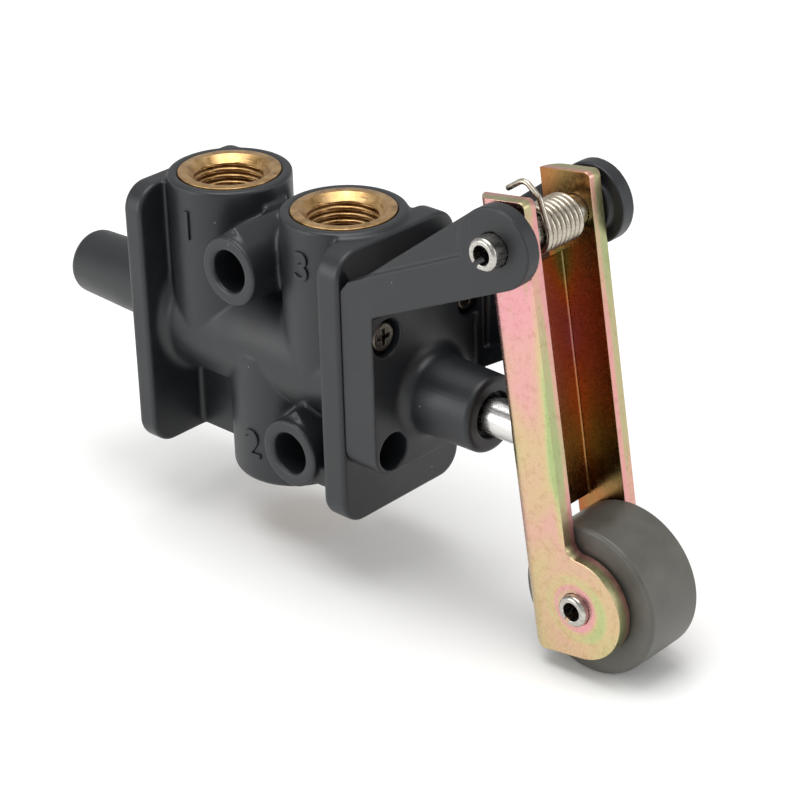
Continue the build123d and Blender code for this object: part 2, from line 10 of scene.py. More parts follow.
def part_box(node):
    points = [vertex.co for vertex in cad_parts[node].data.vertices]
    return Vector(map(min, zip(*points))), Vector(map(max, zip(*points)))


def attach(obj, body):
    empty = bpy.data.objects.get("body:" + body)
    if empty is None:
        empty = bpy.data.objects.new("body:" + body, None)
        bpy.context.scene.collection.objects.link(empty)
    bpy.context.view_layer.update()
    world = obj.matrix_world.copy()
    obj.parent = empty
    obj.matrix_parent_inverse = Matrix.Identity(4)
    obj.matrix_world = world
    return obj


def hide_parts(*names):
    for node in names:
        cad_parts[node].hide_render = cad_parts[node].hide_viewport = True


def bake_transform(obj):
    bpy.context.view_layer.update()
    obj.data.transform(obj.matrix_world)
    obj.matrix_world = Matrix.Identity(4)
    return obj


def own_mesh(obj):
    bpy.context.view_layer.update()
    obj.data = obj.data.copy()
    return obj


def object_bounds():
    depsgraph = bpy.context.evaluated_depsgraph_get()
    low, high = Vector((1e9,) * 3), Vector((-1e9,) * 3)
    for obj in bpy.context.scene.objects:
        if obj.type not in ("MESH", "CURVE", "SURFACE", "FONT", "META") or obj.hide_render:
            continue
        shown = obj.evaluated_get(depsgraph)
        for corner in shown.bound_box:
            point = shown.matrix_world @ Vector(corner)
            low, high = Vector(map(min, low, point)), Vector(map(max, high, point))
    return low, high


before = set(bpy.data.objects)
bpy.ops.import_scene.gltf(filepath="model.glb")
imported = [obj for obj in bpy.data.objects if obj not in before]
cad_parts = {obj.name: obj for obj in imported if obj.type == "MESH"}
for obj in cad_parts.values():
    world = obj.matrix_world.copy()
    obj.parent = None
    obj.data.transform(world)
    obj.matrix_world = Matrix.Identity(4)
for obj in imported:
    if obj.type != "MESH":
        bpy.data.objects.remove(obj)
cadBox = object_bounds()
mm = 0.001
print("stage: frame loaded")


# Places that several pieces share, in millimetres

layout = {
    "spoolZ": -12.7,
    "portPitch": 20.0,
    "pivot": (42.2, 0.0, 14.5),
    "tilt": math.radians(8.5),      # how far the lever leans at rest
}
spoolAxis = (0, 0, layout["spoolZ"] * mm)
ports = ((1, -0.5, 1), (2, 0.0, -1), (3, 0.5, 1))       # number, share of the pitch, opening up or down


# Small helpers

def linearColour(hexCode, alpha=1.0):
    # sRGB hex to the linear values that the shaders take
    parts = [int(hexCode[i:i + 2], 16) / 255 for i in (1, 3, 5)]
    return [c / 12.92 if c <= 0.04045 else ((c + 0.055) / 1.055) ** 2.4 for c in parts] + [alpha]


def addNode(tree, kind, settings=None, links=None):
    # one node with its settings (properties or input values) and its incoming links
    node = tree.nodes.new(kind)
    for key, value in (settings or {}).items():
        if isinstance(key, int) or key in node.inputs:
            node.inputs[key].default_value = value
        else:
            setattr(node, key, value)
    for key, source in (links or {}).items():
        tree.links.new(source, node.inputs[key])
    return node


def startMaterial(name, **values):
    # new material with its Principled shader, whose plain values are set on the sockets
    material = bpy.data.materials.new(name)
    material.use_nodes = True
    tree = material.node_tree
    shader = tree.nodes["Principled BSDF"]
    for key, value in values.items():
        shader.inputs[key.replace("_", " ")].default_value = value
    place = addNode(tree, "ShaderNodeTexCoord").outputs["Object"]
    return material, tree, shader, place


def perMm(size):
    # texture scale for a feature of this many millimetres
    return 1.0 / (size * mm)


def setRamp(node, stops):
    ramp = node.color_ramp
    while len(ramp.elements) < len(stops):
        ramp.elements.new(0.5)
    for element, (position, colour) in zip(ramp.elements, stops):
        element.position = position
        element.color = linearColour(colour)
    return node.outputs["Color"]


def noiseFactor(tree, place, size, detail=4.0, roughness=0.55, distortion=0.0):
    # noise whose features are about this many millimetres
    return addNode(tree, "ShaderNodeTexNoise", {
        "Scale": perMm(size), "Detail": detail, "Roughness": roughness, "Distortion": distortion,
    }, {"Vector": place}).outputs["Fac"]


noiseSpan = (0.3, 0.7)      # nearly all of a noise's values


def spreadRoughness(tree, shader, factor, low, high):
    spread = addNode(tree, "ShaderNodeMapRange", {
        "From Min": noiseSpan[0], "From Max": noiseSpan[1], "To Min": low, "To Max": high,
    }, {"Value": factor})
    tree.links.new(spread.outputs["Result"], shader.inputs["Roughness"])


def roughenSkin(tree, shader, height, strength, depth):
    # fine relief of this many millimetres
    skin = addNode(tree, "ShaderNodeBump", {"Strength": strength, "Distance": depth * mm}, {"Height": height})
    tree.links.new(skin.outputs["Normal"], shader.inputs["Normal"])


def colourOf(tree, factor, stops):
    return setRamp(addNode(tree, "ShaderNodeValToRGB", links={"Fac": factor}), stops)


def tintBase(tree, shader, factor, stops):
    colour = colourOf(tree, factor, stops)
    tree.links.new(colour, shader.inputs["Base Color"])
    return colour


def twoTones(colours):
    return list(zip(noiseSpan, colours))


# Moulded nylon

nylonSettings = {
    "mottleSize": 5.0,      # millimetres, as are the cell and fibre
    "dustCell": 4.2,
    "dustSpan": (0.030, 0.018),     # shares of a cell over which a speck fades in
    "dustShare": 0.55,
    "dustColour": "#8d8f90",
    "fibreSize": 0.35,
}


def makeMouldedNylon(name, colours, roughness, values):
    # black glass-filled nylon, injection moulded: satin skin, faint mottling, short fibres, a few dust specks
    material, tree, shader, place = startMaterial(name, IOR=1.53)
    mottle = noiseFactor(tree, place, values["mottleSize"])
    colour = tintBase(tree, shader, mottle, twoTones(colours))
    dust = addNode(tree, "ShaderNodeTexVoronoi", {"Scale": perMm(values["dustCell"]), "Randomness": 1.0},
                   {"Vector": place})
    speck = addNode(tree, "ShaderNodeMapRange", {
        "From Min": values["dustSpan"][0], "From Max": values["dustSpan"][1],
        "To Min": 0.0, "To Max": values["dustShare"],
    }, {"Value": dust.outputs["Distance"]})
    dusted = addNode(tree, "ShaderNodeMix", {"data_type": "RGBA", 7: linearColour(values["dustColour"])},
                     {0: speck.outputs["Result"], 6: colour})
    tree.links.new(dusted.outputs[2], shader.inputs["Base Color"])
    spreadRoughness(tree, shader, mottle, roughness - 0.05, roughness + 0.07)
    fibres = noiseFactor(tree, place, values["fibreSize"], detail=3.0, roughness=0.7)
    roughenSkin(tree, shader, fibres, strength=0.2, depth=0.03)
    return material


# Machined brass

brassSettings = {
    "stainSize": 1.6,       # millimetres, as are the tool's rings
    "ringSize": 0.9,
    "roughness": (0.24, 0.40),
}


def makeMachinedBrass(values):
    # free-cutting brass, turned: warm gold, slightly tarnished, with fine rings from the tool
    material, tree, shader, place = startMaterial("machinedBrass", Metallic=1.0)
    stain = noiseFactor(tree, place, values["stainSize"], detail=5.0, roughness=0.65)
    tintBase(tree, shader, stain, [(0.32, "#9a774a"), (0.5, "#bc9765"), (0.72, "#d2b183")])
    spreadRoughness(tree, shader, stain, *values["roughness"])
    rings = addNode(tree, "ShaderNodeTexWave", {
        "wave_type": "RINGS", "rings_direction": "Z", "Scale": perMm(values["ringSize"]),
        "Distortion": 0.6, "Detail": 2.0,
    }, {"Vector": place})
    roughenSkin(tree, shader, rings.outputs["Fac"], strength=0.12, depth=0.02)
    return material


# Yellow passivated zinc, whose colour zones lie in the lever's own frame, in millimetres from the pivot

filmSettings = {
    "zoneSize": 12.0,
    "zoneStretch": 0.5,
    "stainSize": 1.1,
    "stainShare": 0.5,
    "scuffSize": 0.5,
    "topPink": 0.11,        # how far the zones shift towards pink below the pivot
    "topSpan": (-20.0, -7.0),
    "edgeGreen": -0.17,     # and towards green beside the front edge
    "edgeSpan": (1.4, 2.7),
    "edgeFoot": (-38.0, -35.0),
    "pinPlace": (3.25, 0.0, -45.0),
    "pinPink": 0.13,        # a pink ring round the roller's pin, then a green one
    "pinSpan": (3.4, 2.6),
    "ringGreen": -0.13,
    "ringSpan": (2.8, 3.4),
    "ringEnd": (4.0, 5.0),
    "hollowRed": 0.16,      # the hollow turns from olive at the roller to red below the pivot
    "hollowSpan": (-32.0, -8.0),
    "hollowShift": -0.06,
    "bandPink": 0.2,        # sheared edges: a smooth pink band on the inner side
    "bandSpan": (5.75, 5.35),
}


def ramped(tree, value, span, amount):
    # rises from nothing to this amount over a span in millimetres
    return addNode(tree, "ShaderNodeMapRange", {
        "interpolation_type": "SMOOTHSTEP", "From Min": span[0] * mm, "From Max": span[1] * mm,
        "To Min": 0.0, "To Max": amount,
    }, {"Value": value}).outputs["Result"]


def summed(tree, parts):
    total = parts[0]
    for part in parts[1:]:
        total = addNode(tree, "ShaderNodeMath", {"operation": "ADD"}, {0: total, 1: part}).outputs[0]
    return total


def sideZones(tree, drift, axes, values):
    # pink below the pivot, green beside the front edge, rings round the roller's pin
    flat = addNode(tree, "ShaderNodeCombineXYZ", links={"X": axes["X"], "Z": axes["Z"]})
    pinPlace = [c * mm for c in values["pinPlace"]]
    fromPin = addNode(tree, "ShaderNodeVectorMath", {"operation": "DISTANCE", 1: pinPlace},
                      {0: flat.outputs["Vector"]}).outputs["Value"]
    beside = addNode(tree, "ShaderNodeMath", {"operation": "MULTIPLY"}, {
        0: ramped(tree, axes["X"], values["edgeSpan"], values["edgeGreen"]),
        1: ramped(tree, axes["Z"], values["edgeFoot"], 1.0),
    }).outputs[0]
    return summed(tree, [
        drift,
        beside,
        ramped(tree, axes["Z"], values["topSpan"], values["topPink"]),
        ramped(tree, fromPin, values["pinSpan"], values["pinPink"]),
        ramped(tree, fromPin, values["ringSpan"], values["ringGreen"]),
        ramped(tree, fromPin, values["ringEnd"], -values["ringGreen"]),
    ])


def hollowZones(tree, drift, axes, values):
    redder = summed(tree, [drift, ramped(tree, axes["Z"], values["hollowSpan"], values["hollowRed"])])
    return addNode(tree, "ShaderNodeMath", {"operation": "ADD", 1: values["hollowShift"]},
                   {0: redder}).outputs[0]


def edgeZones(tree, drift, axes, values):
    across = addNode(tree, "ShaderNodeMath", {"operation": "ABSOLUTE"}, {0: axes["Y"]}).outputs[0]
    return summed(tree, [drift, ramped(tree, across, values["bandSpan"], values["bandPink"])])


def makeYellowZinc(name, stops, roughness, grain, zones, values):
    # steel sheet, zinc plated and yellow passivated: a thin film that drifts from gold to pink and green
    material, tree, shader, place = startMaterial(name, Metallic=1.0)
    local = addNode(tree, "ShaderNodeMapping", {
        "vector_type": "TEXTURE", "Location": [c * mm for c in layout["pivot"]],
        "Rotation": (0.0, -layout["tilt"], 0.0),
    }, {"Vector": place}).outputs["Vector"]
    stretched = addNode(tree, "ShaderNodeMapping", {"Scale": (1.0, 1.0, values["zoneStretch"])},
                        {"Vector": local}).outputs["Vector"]
    drift = noiseFactor(tree, stretched, values["zoneSize"], detail=1.5, roughness=0.45, distortion=0.6)
    axes = addNode(tree, "ShaderNodeSeparateXYZ", links={"Vector": local}).outputs
    film = colourOf(tree, zones(tree, drift, axes, values), stops)
    stain = colourOf(tree, noiseFactor(tree, place, values["stainSize"], detail=5.0, roughness=0.7), [
        (0.34, "#e3d6c6"), (0.50, "#ffffff"), (0.72, "#fffaf4")])
    mixed = addNode(tree, "ShaderNodeMix", {
        "data_type": "RGBA", "blend_type": "MULTIPLY", 0: values["stainShare"],
    }, {6: film, 7: stain})
    tree.links.new(mixed.outputs[2], shader.inputs["Base Color"])
    scuff = noiseFactor(tree, place, values["scuffSize"])
    spreadRoughness(tree, shader, scuff, roughness - 0.05, roughness + 0.07)
    roughenSkin(tree, shader, scuff, strength=grain, depth=0.02)
    return material


# Bright metals and plain plastics

def makeBrightMetal(name, colours, roughness, lineSize, squeeze=(1.0, 1.0, 1.0)):
    # steel or aluminium, ground, drawn or turned: fine lines along the squeezed axis
    material, tree, shader, place = startMaterial(name, Metallic=1.0)
    squeezed = addNode(tree, "ShaderNodeMapping", {"Scale": squeeze}, {"Vector": place}).outputs["Vector"]
    lines = noiseFactor(tree, squeezed, lineSize, detail=4.0, roughness=0.6)
    tintBase(tree, shader, lines, twoTones(colours))
    spreadRoughness(tree, shader, lines, roughness - 0.05, roughness + 0.08)
    roughenSkin(tree, shader, lines, strength=0.1, depth=0.01)
    return material


def makePlainPlastic(name, colours, roughness, grain, ior=1.49, cloudSize=3.0):
    # moulded or turned plastic or rubber: slight cloudiness and a fine grain
    material, tree, shader, place = startMaterial(name, IOR=ior)
    cloud = noiseFactor(tree, place, cloudSize)
    tintBase(tree, shader, cloud, twoTones(colours))
    spreadRoughness(tree, shader, cloud, roughness - 0.05, roughness + 0.06)
    roughenSkin(tree, shader, noiseFactor(tree, place, grain, detail=3.0), strength=0.15, depth=0.02)
    return material


mouldedNylon = makeMouldedNylon("mouldedGlassNylon", ("#111418", "#16191d"), 0.43, nylonSettings)
mouldedCap = makeMouldedNylon("mouldedCapNylon", ("#101316", "#15181b"), 0.45, nylonSettings)
machinedBrass = makeMachinedBrass(brassSettings)
yellowZinc = makeYellowZinc("yellowPassivatedZinc", [
    (0.28, "#a9b981"), (0.37, "#c0c08c"), (0.44, "#cfb78e"), (0.52, "#d2b193"), (0.60, "#d9a69e"),
    (0.68, "#dc9ea4"), (0.78, "#b9c07f")], 0.26, 0.12, sideZones, filmSettings)
# darker copy of the film for the channel's hollow: painted shade, over the film's own drift from olive to red
yellowZincShadedInside = makeYellowZinc("yellowPassivatedZincInsidePaintedShade", [
    (0.30, "#5c6656"), (0.40, "#727250"), (0.49, "#84794c"), (0.57, "#a37546"), (0.66, "#aa6941"),
    (0.76, "#9e6460")], 0.24, 0.08, hollowZones, filmSettings)
yellowZincEdge = makeYellowZinc("yellowPassivatedZincShearedEdge", [
    (0.32, "#9da878"), (0.44, "#a9ab80"), (0.54, "#b5aa84"), (0.64, "#cda28f"),
    (0.76, "#d49a98")], 0.34, 0.4, edgeZones, filmSettings)
springWire = makeBrightMetal("drawnSpringWire", ("#a29b8e", "#cac2b3"), 0.30, 0.3)
rolledPinSteel = makeBrightMetal("rolledPinSteel", ("#a3a09a", "#cbc8c1"), 0.24, 0.4, (1.0, 0.2, 1.0))
groundSteel = makeBrightMetal("groundPlungerSteel", ("#cdcbc8", "#e4e2df"), 0.22, 0.2, (0.15, 1.0, 1.0))
screwSteel = makeBrightMetal("blackenedScrewSteel", ("#4a4740", "#77726a"), 0.32, 0.3)
anodisedSpool = makeBrightMetal("anodisedSpoolAluminium", ("#b9bcc0", "#d3d5d8"), 0.3, 0.3, (0.3, 1.0, 1.0))
turnedRollerPlastic = makePlainPlastic("turnedRollerPlastic", ("#4b4a44", "#57554f"), 0.40, 0.25)
nitrileRubber = makePlainPlastic("nitrileRubber", ("#161617", "#1d1d1e"), 0.55, 0.3, 1.52)
naturalAcetal = makePlainPlastic("naturalAcetal", ("#d9d5c8", "#e3dfd3"), 0.4, 0.3, 1.48)
print("stage: materials made")


# Mesh tools

def addPiece(name, mesh, material, body, smoothBelow=180.0):
    # a mesh becomes a smooth-shaded piece; edges sharper than smoothBelow degrees stay crisp
    mesh.polygons.foreach_set("use_smooth", [True] * len(mesh.polygons))
    if smoothBelow < 180.0:
        mesh.set_sharp_from_angle(angle=math.radians(smoothBelow))
    mesh.materials.clear()
    mesh.materials.append(material)
    piece = bpy.data.objects.new(name, mesh)
    bpy.context.scene.collection.objects.link(piece)
    if body:
        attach(piece, body)
    return piece


def plainMesh(name, verts, faces):
    mesh = bpy.data.meshes.new(name)
    mesh.from_pydata([tuple(v) for v in verts], [], [tuple(f) for f in faces])
    mesh.validate()
    return mesh


def closeShape(shape, mesh):
    # the edited shape is written into the mesh and freed
    shape.to_mesh(mesh)
    shape.free()
    return mesh


def bakeModifiers(piece):
    # the modifiers' result becomes the piece's own mesh
    graph = bpy.context.evaluated_depsgraph_get()
    result = bpy.data.meshes.new_from_object(piece.evaluated_get(graph))
    piece.modifiers.clear()
    piece.data = result
    print("piece:", piece.name, len(result.polygons), "faces")


def ringFaces(low, high):
    # quads between two closed rings of vertices
    nextLow = low[1:] + low[:1]
    nextHigh = high[1:] + high[:1]
    return list(zip(low, nextLow, nextHigh, high))


def cornerArc(before, here, after, radius, segments):
    # the arc of this radius that rounds the corner here
    back = (before - here).normalized()
    ahead = (after - here).normalized()
    half = back.angle(ahead) / 2
    centre = here + (back + ahead).normalized() * (radius / math.sin(half))
    start = here + back * (radius / math.tan(half)) - centre
    end = here + ahead * (radius / math.tan(half)) - centre
    shares = [step / segments for step in range(segments + 1)]
    return [centre + (start * (1 - share) + end * share).normalized() * radius for share in shares]


def roundedOutline(corners, segments=5):
    # corners are (along, radius, round) triples; each corner with a round becomes a short arc
    outline = []
    for place, (along, radius, edge) in enumerate(corners):
        here = Vector((along, radius))
        if edge:
            before = Vector(corners[place - 1][:2])
            after = Vector(corners[(place + 1) % len(corners)][:2])
            outline += cornerArc(before, here, after, edge, segments)
        else:
            outline.append(here)
    return outline


turnedSettings = {
    "steps": 144,
    "crispAbove": 40.0,     # degrees
    "merge": 0.0005 * mm,   # closes the ends that lie on the axis
}


def turnedPiece(name, outline, direction, origin, material, body, closed=False, changes=None):
    # outline points are (along, radius); a radius may also be a function of the angle
    values = {**turnedSettings, **(changes or {})}
    steps = values["steps"]
    along = Vector(direction)
    across = Vector((0, 1, 0))
    third = along.cross(across)
    shape = bmesh.new()
    rings = []
    for height, radius in outline:
        ring = []
        for step in range(steps):
            angle = 2 * math.pi * step / steps
            reach = radius(angle) if callable(radius) else radius
            outward = across * math.cos(angle) + third * math.sin(angle)
            ring.append(shape.verts.new(Vector(origin) + along * height + outward * reach))
        rings.append(ring)
    pairs = list(zip(rings, rings[1:])) + ([(rings[-1], rings[0])] if closed else [])
    for low, high in pairs:
        for face in ringFaces(low, high):
            shape.faces.new(face)
    bmesh.ops.remove_doubles(shape, verts=shape.verts, dist=values["merge"])
    bmesh.ops.recalc_face_normals(shape, faces=shape.faces)
    mesh = closeShape(shape, bpy.data.meshes.new(name))
    return addPiece(name, mesh, material, body, values["crispAbove"])


def bentRoute(corners, radius, segments=8):
    # straight runs with an arc of this radius at each inner corner
    corners = [Vector(corner) for corner in corners]
    route = corners[:1]
    for before, here, after in zip(corners, corners[1:], corners[2:]):
        route += cornerArc(before, here, after, radius, segments)
    return route + corners[-1:]


wireSettings = {
    "sides": 20,
    "endRound": 0.25,       # of the radius, at the cut ends
    "crispAbove": 50.0,     # degrees
}


def roundWire(name, route, radius, material, body=None, changes=None):
    # a wire of this radius along the route, its cut ends slightly broken
    values = {**wireSettings, **(changes or {})}
    endRound = values["endRound"]
    rings = []
    verts = []
    side = None
    for place, spot in enumerate(route):
        before = route[max(place - 1, 0)]
        after = route[min(place + 1, len(route) - 1)]
        ahead = (after - before).normalized()
        if side is None:
            side = ahead.orthogonal().normalized()
        side = (side - ahead * side.dot(ahead)).normalized()
        other = ahead.cross(side)
        reaches = [(0.0, radius)]
        if place == 0:
            reaches = [(0.0, radius * (1 - endRound)), (radius * endRound, radius)]
        if place == len(route) - 1:
            reaches = [(-radius * endRound, radius), (0.0, radius * (1 - endRound))]
        for shift, reach in reaches:
            ring = []
            for step in range(values["sides"]):
                angle = 2 * math.pi * step / values["sides"]
                outward = side * math.cos(angle) + other * math.sin(angle)
                ring.append(len(verts))
                verts.append(spot + ahead * shift + outward * reach)
            rings.append(ring)
    faces = [tuple(reversed(rings[0])), tuple(rings[-1])]
    for low, high in zip(rings, rings[1:]):
        faces += ringFaces(low, high)
    return addPiece(name, plainMesh(name, verts, faces), material, body, values["crispAbove"])


# Moulded body and bracket

mouldSettings = {
    "body": {"voxel": 0.18 * mm, "hollow": 0.35 * mm, "edge": 0.16 * mm},
    "bracket": {"voxel": 0.11 * mm, "hollow": 0.3 * mm, "edge": 0.04 * mm},
    "bandMargin": 3,        # voxels
    "relaxFactor": 0.5,
    "relaxRounds": 2,
}


def cadTriangles(node):
    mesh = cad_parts[node].data
    mesh.calc_loop_triangles()
    points = np.empty(len(mesh.vertices) * 3, dtype=np.float32)
    mesh.vertices.foreach_get("co", points)
    triangles = np.empty(len(mesh.loop_triangles) * 3, dtype=np.int32)
    mesh.loop_triangles.foreach_get("vertices", triangles)
    return points.reshape(-1, 3), triangles.reshape(-1, 3)


def offsetSkin(points, triangles, quads, voxel, shift):
    # the closed surface moved out by shift, or in where it is negative
    faces = {"triangles": triangles}
    if quads is not None:
        faces["quads"] = quads
    grid = openvdb.FloatGrid.createLevelSetFromPolygons(
        points, transform=openvdb.createLinearTransform(voxelSize=voxel),
        halfWidth=abs(shift) / voxel + mouldSettings["bandMargin"], **faces)
    return grid.convertToPolygons(shift, 0.0)


def mouldedSkin(node, name, values):
    # the CAD solid with moulded rounds: out and back in fills inner corners, in and back out rounds edges
    skin = (*cadTriangles(node), None)
    for shift in (values["hollow"], -(values["hollow"] + values["edge"]), values["edge"]):
        skin = offsetSkin(*skin, values["voxel"], shift)
    points, triangles, quads = skin
    faces = [tuple(reversed(face)) for face in quads.tolist() + triangles.tolist()]
    piece = addPiece(name, plainMesh(name, points.tolist(), faces), mouldedNylon, "valve")
    relax = piece.modifiers.new("relax", "SMOOTH")
    relax.factor = mouldSettings["relaxFactor"]
    relax.iterations = mouldSettings["relaxRounds"]
    bakeModifiers(piece)
    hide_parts(node)


mouldedSkin("valve_body", "mouldedBody", mouldSettings["body"])
mouldedSkin("lever_bracket", "mouldedBracket", mouldSettings["bracket"])
print("stage: mouldings made")


# Port numbers, moulded in low relief on the fronts of the bosses

numberSettings = {
    "height": 3.75 * mm,
    "digitShare": 0.69,             # of the font's size
    "relief": 0.22 * mm,
    "edge": 0.07 * mm,
    "turn": math.radians(2.0),      # from the front towards +X
    "upperRadius": 8.0 * mm,
    "upperRise": 15.2 * mm,
    "lowerRadius": 8.2 * mm,
    "lowerRise": -12.25 * mm,
    "merge": 0.002 * mm,
    "longestEdge": 0.5 * mm,        # longer ones are cut, so that the digit can bend
    "cutRounds": 2,
    "crispAbove": 50.0,             # degrees
}


def portNumber(number, x, radius, z, values):
    # the digit is set as flat text, cut finely and wrapped round its boss
    curve = bpy.data.curves.new(f"digit{number}", "FONT")
    curve.body = str(number)
    curve.align_x = "CENTER"
    curve.align_y = "CENTER"
    curve.size = values["height"] / values["digitShare"]
    curve.extrude = values["relief"]
    curve.bevel_depth = values["edge"]
    curve.bevel_resolution = 2
    curve.resolution_u = 8
    draft = bpy.data.objects.new("numberDraft", curve)
    bpy.context.scene.collection.objects.link(draft)
    mesh = bpy.data.meshes.new_from_object(draft)
    bpy.data.objects.remove(draft)
    shape = bmesh.new()
    shape.from_mesh(mesh)
    bmesh.ops.remove_doubles(shape, verts=shape.verts, dist=values["merge"])
    bmesh.ops.triangulate(shape, faces=shape.faces)
    for _ in range(values["cutRounds"]):
        longEdges = [edge for edge in shape.edges if edge.calc_length() > values["longestEdge"]]
        bmesh.ops.subdivide_edges(shape, edges=longEdges, cuts=2)
        bmesh.ops.triangulate(shape, faces=shape.faces)
    for vertex in shape.verts:
        angle = values["turn"] + vertex.co.x / radius
        reach = radius + vertex.co.z
        vertex.co = Vector((x + reach * math.sin(angle), -reach * math.cos(angle), z + vertex.co.y))
    closeShape(shape, mesh)
    addPiece(f"portNumber{number}", mesh, mouldedNylon, "valve", values["crispAbove"])


for number, share, side in ports:
    which = "upper" if side > 0 else "lower"
    portNumber(number, share * layout["portPitch"] * mm, numberSettings[which + "Radius"],
               spoolAxis[2] + numberSettings[which + "Rise"], numberSettings)
print("stage: port numbers made")


# Brass inserts with their threads

insertSettings = {
    "head": 6.59 * mm,
    "root": 5.99 * mm,
    "groove": 5.39 * mm,
    "headDepth": 4.0 * mm,
    "grooveWidth": 1.6 * mm,
    "length": 9.6 * mm,
    "proud": 0.05 * mm,
    "minor": 4.283 * mm,
    "major": 4.864 * mm,
    "threadPitch": 0.907 * mm,
    "sinkRadius": 5.4 * mm,
    "sinkDepth": 1.0 * mm,
    "samplesPerPitch": 12,
    "edge": 0.08 * mm,
    "turning": {"steps": 120, "crispAbove": 50.0},
}


def threadedInsert(number, x, rim, side, values):
    # heights run from the rim; the thread is a cosine groove that the countersink cuts off
    low = -values["length"]
    top = values["proud"]
    slope = (values["sinkRadius"] - values["minor"]) / values["sinkDepth"]

    def boreRadius(height):
        def radius(angle):
            phase = height / values["threadPitch"] - angle / (2 * math.pi)
            groove = 0.5 - 0.5 * math.cos(2 * math.pi * phase)
            thread = values["minor"] + (values["major"] - values["minor"]) * groove
            return max(thread, values["sinkRadius"] - (top - height) * slope)
        return radius

    step = -values["headDepth"]
    grooveEnd = step - values["grooveWidth"]
    outside = roundedOutline([
        (low, values["major"] + values["edge"], 0),
        (low, values["root"], values["edge"]),
        (grooveEnd, values["root"], values["edge"]),
        (grooveEnd, values["groove"], 0),
        (step, values["groove"], 0),
        (step, values["head"], values["edge"]),
        (top, values["head"], values["edge"]),
        (top, values["sinkRadius"] + values["edge"], 0),
    ], segments=3)
    count = int(values["length"] / values["threadPitch"] * values["samplesPerPitch"])
    heights = [top + (low - top) * row / count for row in range(count + 1)]
    inside = [(height, boreRadius(height)) for height in heights]
    piece = turnedPiece(f"threadedInsert{number}", [tuple(p) for p in outside] + inside, (0, 0, side),
                        (x, 0, rim), machinedBrass, "valve", closed=True, changes=values["turning"])
    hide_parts(f"port_insert_{number}")


for number, share, side in ports:
    low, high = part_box(f"port_insert_{number}")
    rim = high.z - insertSettings["proud"] if side > 0 else low.z + insertSettings["proud"]
    threadedInsert(number, share * layout["portPitch"] * mm, rim, side, insertSettings)
print("stage: inserts made")


# Spring cap and plunger, turned round the spool's axis, in millimetres

def outlineOf(corners):
    # millimetre triples as a rounded outline in metres
    return roundedOutline([(along * mm, radius * mm, edge * mm) for along, radius, edge in corners])


capSettings = {
    "face": -18.7, "length": 19.7, "tip": 4.35, "root": 5.0, "endRound": 1.4,
    "flange": 6.9, "flangeThick": 1.6, "flangeRound": 0.6, "neckRound": 0.5, "faceRound": 0.1,
    "spigot": 4.97, "spigotEnd": -15.99, "spigotRound": 0.2,
    "bore": 3.1, "boreRound": 0.1, "wall": 1.5, "floorRound": 0.5,
    "gasketOuter": 6.4, "gasketInner": 5.5, "gasketThick": 0.8,
}


def turnedCap(values):
    face = values["face"]
    end = face - values["length"]
    shoulder = face - values["flangeThick"]
    seat = face - values["gasketThick"]
    floor = end + values["wall"]
    outline = outlineOf([
        (end, 0, 0),
        (end, values["tip"], values["endRound"]),
        (shoulder, values["root"], values["neckRound"]),
        (shoulder, values["flange"], values["flangeRound"]),
        (face, values["flange"], values["faceRound"]),
        (face, values["gasketOuter"], 0),
        (seat, values["gasketOuter"], 0),
        (seat, values["gasketInner"], 0),
        (face, values["gasketInner"], 0),
        (face, values["spigot"], 0),
        (values["spigotEnd"], values["spigot"], values["spigotRound"]),
        (values["spigotEnd"], values["bore"], values["boreRound"]),
        (floor, values["bore"], values["floorRound"]),
        (floor, 0, 0),
    ])
    piece = turnedPiece("mouldedCap", outline, (1, 0, 0), spoolAxis, mouldedCap, "valve")
    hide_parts("spring_cap")


turnedCap(capSettings)

plungerSettings = {
    "start": 20.29, "collar": 3.4, "collarThick": 1.3, "collarRound": 0.15, "rootRound": 0.1,
    "radius": 2.4, "tip": 41.2634, "tipRound": 1.5,
}


def turnedPlunger(values):
    collarEnd = values["start"] + values["collarThick"]
    outline = outlineOf([
        (values["start"], 0, 0),
        (values["start"], values["collar"], values["collarRound"]),
        (collarEnd, values["collar"], values["collarRound"]),
        (collarEnd, values["radius"], values["rootRound"]),
        (values["tip"], values["radius"], values["tipRound"]),
        (values["tip"], 0, 0),
    ])
    piece = turnedPiece("groundPlunger", outline, (1, 0, 0), spoolAxis, groundSteel, "plunger")
    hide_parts("plunger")


turnedPlunger(plungerSettings)
print("stage: turned pieces made")


# Springs, in millimetres

torsionSettings = {
    "drawnWire": 0.35,      # radius, a little under the CAD wire's 0.375, so that the turns show apart
    "coil": 2.575,
    "wholeTurns": 7,
    "pitch": 0.79,
    "hook": [(1.13, 4.25), (-1.07, 6.0), (-3.59, 4.28)],
    "hookBend": 1.2,
    "tailReach": 6.6,
    "tailEnd": 6.2,
    "tailBend": 0.9,
    "stepsPerTurn": 48,
}


